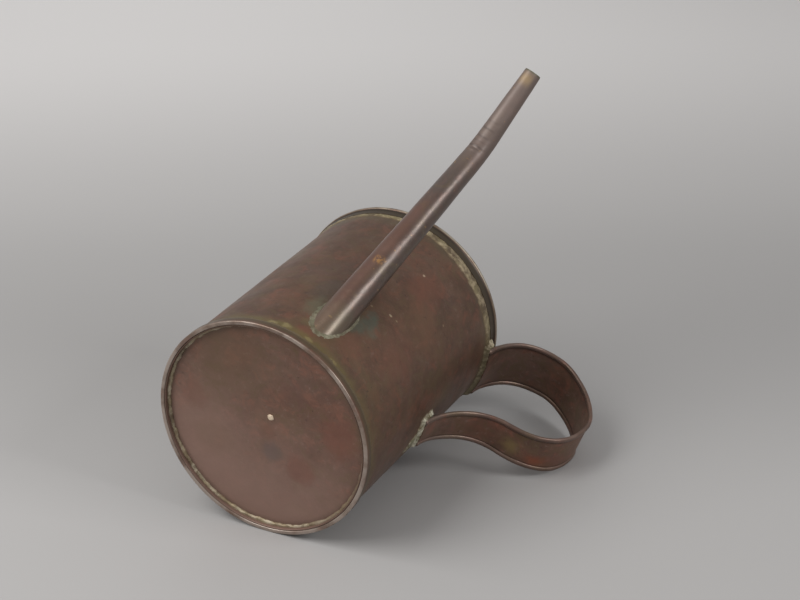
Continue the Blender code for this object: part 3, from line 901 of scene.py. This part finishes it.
up = wall_patch("upper_solder_skin", -0.40, 0.40, 160.5 * MM, 176.5 * MM, 160, 48, upper_end)
def upper_solder_extra(g, c):
    # olive brown except on the lump
    q = math.radians(-15.9)
    m = g.spot((AX + 72.5 * MM * math.cos(q), AY + 72.5 * MM * math.sin(q), 172.8 * MM), 0.0052, 0.0016, 0.5, 300)
    m = g.math("SUBTRACT", 1.0, m)
    return g.mix(g.math("MULTIPLY", m, 0.78), c, (0.128, 0.102, 0.056))


dress(up, solder("upper_solder", pale=(0.58, 0.50, 0.36), pale_amt=0.85, feather=0.7, extra=upper_solder_extra), "handle_upper_solder", "handle_upper_solder")
dn = wall_patch("lower_solder_skin", -0.25, 0.25, 60 * MM, 95 * MM, 120, 110, lower_end)
dress(dn, solder("lower_solder", pale=(0.66, 0.63, 0.50), green=(0.225, 0.210, 0.125), brown=(0.14, 0.11, 0.055), pale_amt=0.85, rough=(0.25, 0.5), feather=0.8), "handle_lower_solder", "handle_lower_solder")


def rim_band_height(a, z):
    x = a * 71
    zz = z / MM
    top = 172.2
    # narrow on the far side of the spout, broad between the spout and the handle
    az = math.degrees(math.atan2(math.sin(a), math.cos(a)))
    broad = math.exp(-(((az + 50) / 42) ** 2))
    edge = 168.4 - 3.4 * broad + 0.9 * nz(math.cos(a) * 9, math.sin(a) * 9, 2.0, 3)
    lump = 0.22 * nz(math.cos(a) * 30, math.sin(a) * 30, zz / 2.2, 2)
    body_h = 0.75 * float(smooth(edge - 1.2, edge + 1.8, zz)) * (1 - 0.35 * float(smooth(170.5, 172.2, zz)))
    return (body_h + lump - 0.12) * MM


rb = wall_patch("rim_solder_skin", 0.0, 2 * math.pi, 163.5 * MM, 172.6 * MM, 520, 24, rim_band_height, whole=True)
dress(rb, solder("rim_solder_mat", pale=(0.46, 0.375, 0.245), green=(0.225, 0.182, 0.098), pale_amt=0.6, feather=0.55), "rim_solder", "rim_solder")


def foot_band_height(a, z):
    zz = z / MM
    edge = 8.3 + 0.8 * nz(math.cos(a) * 8, math.sin(a) * 8, 6.0, 3)
    lump = 0.14 * nz(math.cos(a) * 30, math.sin(a) * 30, zz / 2, 2)
    return (0.42 * (1 - float(smooth(edge - 2.2, edge + 0.6, zz))) + lump - 0.08) * MM


fb = wall_patch("foot_solder_skin", 0.0, 2 * math.pi, 4.6 * MM, 10.5 * MM, 480, 16, foot_band_height, whole=True)
dress(fb, solder("foot_solder_mat", pale=(0.185, 0.145, 0.065), green=(0.135, 0.100, 0.046), pale_amt=0.35, feather=0.2), "foot_solder", "foot_solder")


def wob(amt, seed):
    def f(a, i, r, z):
        n = nz(math.cos(a) * 6, math.sin(a) * 6, seed + z * 60, 3)
        return amt * n, amt * 0.7 * nz(math.cos(a) * 6 + 3, math.sin(a) * 6, seed + r * 60, 3)

    return f


def wear_edge(z_lo, z_hi, tone=(0.42, 0.32, 0.28)):
    def f(g, c):
        x, y, z = g.parts()
        return wear_and_highlight(g, c, g.rng(z, z_lo, z_hi, 0.0, 1.0), tone)

    return f



def mm(profile):
    return [(r * MM, z * MM) for r, z in profile]


def hem_wobble(a, i, r, z):
    low = 0.07 * nz(math.cos(a) * 4, math.sin(a) * 4, 3.0, 3)
    return low * MM, 0.5 * low * MM


foot = lathe(
    "foot_hem",
    rounded(
        mm([(70.95, 5.25), (72.4, 5.25), (72.4, 0.0), (69.75, 0.0), (69.75, 1.5), (70.95, 1.5)]),
        [0.0, 0.42 * MM, 0.8 * MM, 0.7 * MM, 0.0, 0.0],
    ),
    wobble=hem_wobble,
)


def foot_extra(g, c):
    x, y, z = g.parts()
    # the lower edge is lightened, pinker than the sheet: partly rubbed wear, partly a painted highlight line
    side_m = g.math("MULTIPLY", g.rng(z, 0.0012, 0.0030, 0.0, 1.0), 0.75)
    c = g.mix(side_m, c, (0.100, 0.074, 0.042))
    m = g.rng(z, 0.0001, 0.0013, 1.0, 0.0)
    return wear_and_highlight(g, c, m, (0.41, 0.345, 0.300), 0.85, 45)


dress(foot, patina("foot_patina", red_amt=0.3, grey_amt=0.6, extra=foot_extra, rough=(0.3, 0.45)), "foot_ring", "foot_ring")


# ---- base: a shallow pan set up inside the foot
def pan(name, r_out=69.62, r_in=68.75, z_low=0.35, z_face=4.1, t=0.9):
    prof = [(0.05 + (r_in - 0.35 - 0.05) * (k / 60), z_face) for k in range(61)]
    prof += [(r_in, z_face - 0.35), (r_in, z_low + 0.25), (r_in + 0.2, z_low), (r_out - 0.2, z_low), (r_out, z_low + 0.25)]
    prof += [(r_out, z_face + t - 0.3), (r_out - 0.3, z_face + t)]
    prof += [(r_out * (1 - k / 10), z_face + t) for k in range(1, 10)] + [(0.05, z_face + t)]

    def wobble(a, i, r, z):
        x, y = r * math.cos(a) / MM, r * math.sin(a) / MM
        inside = 1.0 - float(smooth(62 * MM, 68.5 * MM, r))
        d = 0.30 * nz(x / 26, y / 26, 5.0, 2) + 0.06 * nz(x / 6, y / 6, 2.0, 2)
        return 0.0, d * MM * inside

    ob = lathe(name, mm(prof), steps=216, wobble=wobble, closed=False)
    bm = bmesh.new()
    bm.from_mesh(ob.data)
    ends = [e for e in bm.edges if e.is_boundary]
    if ends:
        bmesh.ops.holes_fill(bm, edges=ends, sides=0)
    bm.to_mesh(ob.data)
    bm.free()
    return ob


BASE = BROWN
base = pan("base_pan")


def base_extra(g, c):
    x, y, z = g.parts()
    r = g.from_axis()
    n = g.lin(g.noise(34, 5, 0.62, 0.4, shift=(2, 5, 1)), 0, 1, -0.030, 0.030)
    # painted bounce light from the floor: greyer and lighter over the half towards the floor
    m = g.rng(g.math("ADD", y, n), AY - 0.034, AY + 0.052, 0.0, 1.0)
    c = g.mix(g.math("MULTIPLY", m, 0.85), c, (0.305, 0.195, 0.158))
    # olive brown on the other, by the spout
    m = g.spot((AX - 0.040, AY - 0.036, 0.004), 0.030, 0.022, 0.5, 40)
    c = g.mix(g.math("MULTIPLY", m, 0.55), c, (0.165, 0.105, 0.068))
    for at, rad, tone, amt in BASE_STAINS:
        p = (AX + at[0] * MM, AY + at[1] * MM, 0.004)
        c = g.mix(g.math("MULTIPLY", g.spot(p, rad * MM, rad * 0.45 * MM, 0.7, 110), amt), c, tone)
    # darker in the corner under the flange
    m = g.rng(g.math("ADD", r, g.lin(g.noise(120, 4, 0.6), 0, 1, -0.0016, 0.0016)), 0.0635, 0.0680, 0.0, 1.0)
    return g.mix(g.math("MULTIPLY", m, 0.5), c, (0.10, 0.068, 0.050))


BASE_STAINS = [
    ((46, -24), 13.0, (0.215, 0.092, 0.066), 0.6),
    ((8, -34), 9.0, (0.155, 0.085, 0.068), 0.5),
    ((31, 13), 9.0, (0.225, 0.100, 0.075), 0.45),
    ((10, 14), 7.0, (0.160, 0.125, 0.115), 0.55),
    ((-30, 30), 12.0, (0.235, 0.150, 0.110), 0.4),
    ((2, 2), 6.0, (0.200, 0.105, 0.075), 0.4),
    ((-50, 8), 9.0, (0.205, 0.100, 0.072), 0.4),
]
dress(
    base,
    patina(
        "base_patina",
        base=(0.190, 0.110, 0.080),
        dark=(0.158, 0.089, 0.067),
        red=(0.228, 0.100, 0.069),
        grey=(0.198, 0.132, 0.108),
        mottle=0.5,
        extra=base_extra,
        rough=(0.42, 0.6),
    ),
    "base_plate",
    "base_plate",
)


def fillet_ring(name, r, z, w, h, seed, steps=420):
    """Solder in the corner under the pan: w inwards and h down, ragged all round."""
    P = []
    for s in range(steps):
        a = 2 * math.pi * s / steps
        cx, cy = math.cos(a) * 11, math.sin(a) * 11
        ww = w * (1 + 0.45 * nz(cx, cy, seed, 3))
        hh = h * (1 + 0.35 * nz(cx, cy, seed + 5, 3))
        row = []
        for j in range(9):
            q = math.pi / 2 * j / 8
            f = 1 + 0.16 * nz(cx * 3, cy * 3, seed + j * 0.35, 2)
            row.append(on_axis((r - ww * math.cos(q) ** 0.85 * f) * MM, a, (z - hh * math.sin(q) ** 0.85 * f) * MM))
        row.append(on_axis((r + 0.3) * MM, a, (z - hh) * MM))
        row.append(on_axis((r + 0.3) * MM, a, (z + 0.4) * MM))
        row.append(on_axis((r - ww) * MM, a, (z + 0.4) * MM))
        P.append(row)
    return grid(name, P, close_u=True, close_v=True, sharp=70)


bs = fillet_ring("base_solder_fillet", 68.8, 4.15, 1.7, 1.5, 4.0)


def base_solder_extra(g, c):
    # pale along one side, browned over on the other
    m = g.spot((AX + 66 * MM, AY - 34 * MM, 0.004), 0.072, 0.026, 0.35, 60)
    c = g.mix(g.math("MULTIPLY", m, 0.86), c, (0.155, 0.105, 0.070))
    m = g.spot((AX + 10 * MM, AY - 68 * MM, 0.004), 0.060, 0.020, 0.35, 60)
    c = g.mix(g.math("MULTIPLY", m, 0.8), c, (0.150, 0.105, 0.075))
    n = g.rng(g.noise(75, 5, 0.7, shift=(3, 9, 3)), 0.46, 0.60, 0.0, 0.65)
    return g.mix(n, c, (0.235, 0.175, 0.105))


dress(
    bs,
    solder("base_solder_mat", pale=(0.47, 0.41, 0.31), green=(0.30, 0.25, 0.16), pale_amt=0.85, extra=base_solder_extra),
    "base_solder",
    "base_solder",
)


def make_dot():
    bm = bmesh.new()
    bmesh.ops.create_icosphere(bm, subdivisions=4, radius=1.0)
    for v in bm.verts:
        d = v.co.normalized()
        f = 1 + 0.16 * nz(d.x * 1.2, d.y * 1.2, d.z * 1.2 + 3, 3)
        v.co = Vector((d.x * 2.2 * f, d.y * 2.0 * f, d.z * 0.75 * f)) * MM
    me = bpy.data.meshes.new("centre_drop")
    bm.to_mesh(me)
    bm.free()
    me.shade_smooth()
    ob = bpy.data.objects.new("centre_drop", me)
    bpy.context.scene.collection.objects.link(ob)
    me.transform(Matrix.Translation(AXIS + Vector((1.1 * MM, -9.0 * MM, 3.95 * MM))))
    return ob


dress(make_dot(), solder("centre_drop_mat", pale=(0.80, 0.66, 0.50), green=(0.66, 0.50, 0.36), brown=(0.5, 0.36, 0.26), pale_amt=0.9), "base_centre_solder", "base_centre_solder")


# ---- collar with its edge rolled round a wire
def make_collar():
    cr, cz, R, t = 71.5, 179.0, 1.4, 0.45
    f0, f1 = math.radians(-60), math.radians(250)
    outer = [(cr + R * math.cos(f0 + (f1 - f0) * k / 26), cz + R * math.sin(f0 + (f1 - f0) * k / 26)) for k in range(27)]
    inner = [(cr + (R - t) * math.cos(f0 + (f1 - f0) * k / 20), cz + (R - t) * math.sin(f0 + (f1 - f0) * k / 20)) for k in range(21)]
    prof = outer[::-1] + [(71.72, 175.6), (71.62, 174.0), (71.72, 172.3), (71.66, 171.9), (71.0, 171.9), (71.0, 175.9)] + inner

    def wobble(a, i, r, z):
        d = 0.10 * nz(math.cos(a) * 3, math.sin(a) * 3, 9.0, 3)
        return d * MM, 0.8 * d * MM

    return lathe("rim_roll", mm(prof), steps=288, wobble=wobble, sharp=50)


def rim_extra(g, c):
    x, y, z = g.parts()
    r = g.from_axis()
    # painted shade: the collar below the roll darkened to dark olive, with a black painted shadow line under the roll;
    # the roll's crest lightened, partly rubbed pale and partly a painted highlight
    c = g.mix(g.math("MULTIPLY", g.rng(z, 0.1765, 0.1780, 1.0, 0.0), 0.85), c, (0.058, 0.047, 0.031))
    c = g.mix(g.math("MULTIPLY", g.hump(z, 0.1770, 0.0014), 0.85), c, (0.030, 0.024, 0.019))
    m = g.math("MULTIPLY", g.rng(r, 0.0721, 0.0727, 0.0, 1.0), g.rng(z, 0.1776, 0.1784, 0.0, 1.0))
    return wear_and_highlight(g, c, m, (0.37, 0.33, 0.265), 0.85, 60)


dress(make_collar(), patina("rim_patina", red_amt=0.15, extra=rim_extra, rough=(0.34, 0.5)), "rim_collar", "rim_collar")


# ---- seams
def seam_height(a, z):
    x = WALL_R * (a - math.radians(93)) / MM
    w = 0.9 + 0.25 * nz(z / MM / 5, 2, 0, 3)
    return (0.55 * max(0.0, 1 - (x / w) ** 2) ** 0.6 + 0.08 * nz(x, z / MM / 2, 1, 2) - 0.06) * MM


sm = wall_patch("wall_seam_ridge", math.radians(93 - 1.4), math.radians(93 + 1.4), 8 * MM, 165 * MM, 18, 220, seam_height)
dress(sm, solder("wall_seam_mat", pale_amt=0.4), "wall_seam_solder", "wall_seam_solder")


def make_spout_seam():
    P = []
    s_start = wall_s(math.pi / 2, 0, WALL_R) + 14 * MM
    for i in range(260):
        s = s_start + (LENGTH - 4 * MM - s_start) * i / 259
        r = tube_radius(s)
        w = 0.85 * (1 + 0.25 * nz(s / MM / 6, 1, 1, 3)) * MM / r
        row = []
        for j in range(9):
            f = -1 + 2 * j / 8
            h = 0.34 * (1 - f * f) - 0.06 + 0.05 * nz(f * 2, s / MM / 2, 3, 2)
            if i in (0, 259):
                h = -0.1
            row.append(spout_point(s, math.pi / 2 + f * w, r + spout_skin(s, math.pi / 2 + f * w) + h * MM))
        row.append(spout_point(s, math.pi / 2 + w, r - 0.4 * MM))
        row.append(spout_point(s, math.pi / 2 - w, r - 0.4 * MM))
        P.append(row)
    return grid("spout_seam_ridge", P, close_v=True, cap_u=True, sharp=60)


dress(make_spout_seam(), solder("spout_seam_mat", pale_amt=0.35), "spout_seam_solder", "spout_seam_solder")


# ---- the wire stays as the CAD has it
def wire_mat():
    g = Nodes("wire_steel")
    n = g.noise(300, 4, 0.6)
    c = g.mix(g.rng(n, 0.4, 0.65), (0.16, 0.14, 0.12), (0.10, 0.06, 0.04))
    return g.done(c, g.lin(n, 0.3, 0.7, 0.35, 0.6), g.bump(n, 0.4, 0.0003), 0.8)


wire = NODES["rim_wire"]
wm = wire_mat()
wire.data.materials.clear()
wire.data.materials.append(wm)

# ------------------------------------------------------------------ camera
RIGHT = Vector((0.8240, -0.3297, 0.4606)).normalized()
FORWARD = Vector((-0.2094, 0.5782, 0.7886)).normalized()
DOWN = FORWARD.cross(RIGHT).normalized()
RIGHT = DOWN.cross(FORWARD).normalized()
cam_data = bpy.data.cameras.new("camera")
cam = bpy.data.objects.new("camera", cam_data)
bpy.context.scene.collection.objects.link(cam)
bpy.context.scene.camera = cam
cam_data.sensor_width = 36.0
cam_data.lens = 2150 / 800 * 36
cam_data.clip_start, cam_data.clip_end = 0.05, 30
place = Vector((-1.162, 1.091, 18.035)) * 0.072
cam.matrix_world = Matrix.Translation(AXIS - place.x * RIGHT - place.y * DOWN - place.z * FORWARD) @ Matrix(
    (RIGHT, -DOWN, -FORWARD)
).transposed().to_4x4()

# ------------------------------------------------------------------ stage
up = Vector((math.cos(math.radians(-112.72)), math.sin(math.radians(-112.72)), 0.003)).normalized()
deep = (FORWARD - FORWARD.dot(up) * up).normalized()
side = deep.cross(up).normalized()
touch = AXIS - up * 72.42 * MM
STAGE = Matrix.Translation(touch) @ Matrix((side, deep, up)).transposed().to_4x4()


def stage_plane(name, size, matrix, mat):
    bm = bmesh.new()
    bmesh.ops.create_grid(bm, x_segments=8, y_segments=8, size=size)
    me = bpy.data.meshes.new(name)
    bm.to_mesh(me)
    bm.free()
    ob = bpy.data.objects.new(name, me)
    bpy.context.scene.collection.objects.link(ob)
    ob.matrix_world = matrix
    me.materials.append(mat)
    return ob


def paper(name, tint, painted_falloff):
    """Pale matt paper, seen from its front only."""
    g = Nodes(name)
    x, y, z = g.parts()
    n = g.noise(6, 3, 0.5)
    c = g.mix(g.rng(n, 0.3, 0.7), tuple(v * 0.985 for v in tint), tint)
    # painted light falloff and shadow band on the floor
    if painted_falloff:
        c = painted_falloff(g, c, x, y)
    g.done(c, 0.85, None, 0.0, 0.15)
    geo = g.t.nodes.new("ShaderNodeNewGeometry")
    clear = g.t.nodes.new("ShaderNodeBsdfTransparent")
    mix = g.t.nodes.new("ShaderNodeMixShader")
    g.link(geo.outputs["Backfacing"], mix.inputs[0])
    g.link(g.b.outputs[0], mix.inputs[1])
    g.link(clear.outputs[0], mix.inputs[2])
    g.link(mix.outputs[0], g.out.inputs["Surface"])
    return g.m


def painted_falloff(g, c, x, y):
    """Painted light falloff on the sweep: a painted shadow band across it, lighter towards its far edge, a little
    darker to one side.
    """
    f = g.math("SUBTRACT", 0.93, g.math("MULTIPLY", g.hump(y, 0.27, 0.26), 0.15))
    f = g.math("ADD", f, g.math("MULTIPLY", g.rng(y, 0.38, 0.90), 0.54))
    f = g.math("MULTIPLY", f, g.lin(x, -0.35, 0.45, 1.02, 0.96))
    return g.mix(g.math("MULTIPLY", f, 1 / 1.7), (0.0, 0.0, 0.0), (0.70, 0.69, 0.69))


stage_plane("paper_floor", 2.2, STAGE, paper("paper", (0.41, 0.405, 0.405), painted_falloff))
table_top = stage_plane("table_top", 2.2, Matrix.Translation((0, 0, -0.0002)), paper("table_paper", (0.52, 0.51, 0.505), None))
table_top.visible_shadow = False
table_top.visible_diffuse = False
table_top.visible_glossy = False

# ------------------------------------------------------------------ light
world = bpy.data.worlds.new("studio")
bpy.context.scene.world = world
world.use_nodes = True
bg = world.node_tree.nodes["Background"]
bg.inputs["Color"].default_value = (1.0, 0.985, 0.97, 1.0)
bg.inputs["Strength"].default_value = 0.43


def softbox(name, where, aim, size, power, tint=(1, 1, 1)):
    li = bpy.data.lights.new(name, "AREA")
    li.shape = "RECTANGLE"
    li.size, li.size_y = size
    li.energy = power
    li.color = tint
    ob = bpy.data.objects.new(name, li)
    bpy.context.scene.collection.objects.link(ob)
    p = STAGE @ Vector(where)
    a = STAGE @ Vector(aim)
    ob.location = p
    ob.rotation_euler = (a - p).to_track_quat("-Z", "Y").to_euler()
    return ob


softbox("key", (-0.80, -0.24, 1.12), (0.0, 0.05, 0.05), (1.0, 1.0), 15.6, (1.0, 0.985, 0.96))
softbox("lamp", (1.12, -0.50, 0.90), (0.0, 0.05, 0.05), (0.42, 0.5), 7.0, (1.0, 0.99, 0.98))
top = softbox("top", (-0.15, 1.45, 0.60), (0.0, 0.25, 0.1), (0.9, 0.9), 3.0, (1.0, 0.995, 0.99))
top.visible_glossy = False

bpy.context.scene.view_settings.view_transform = "Standard"
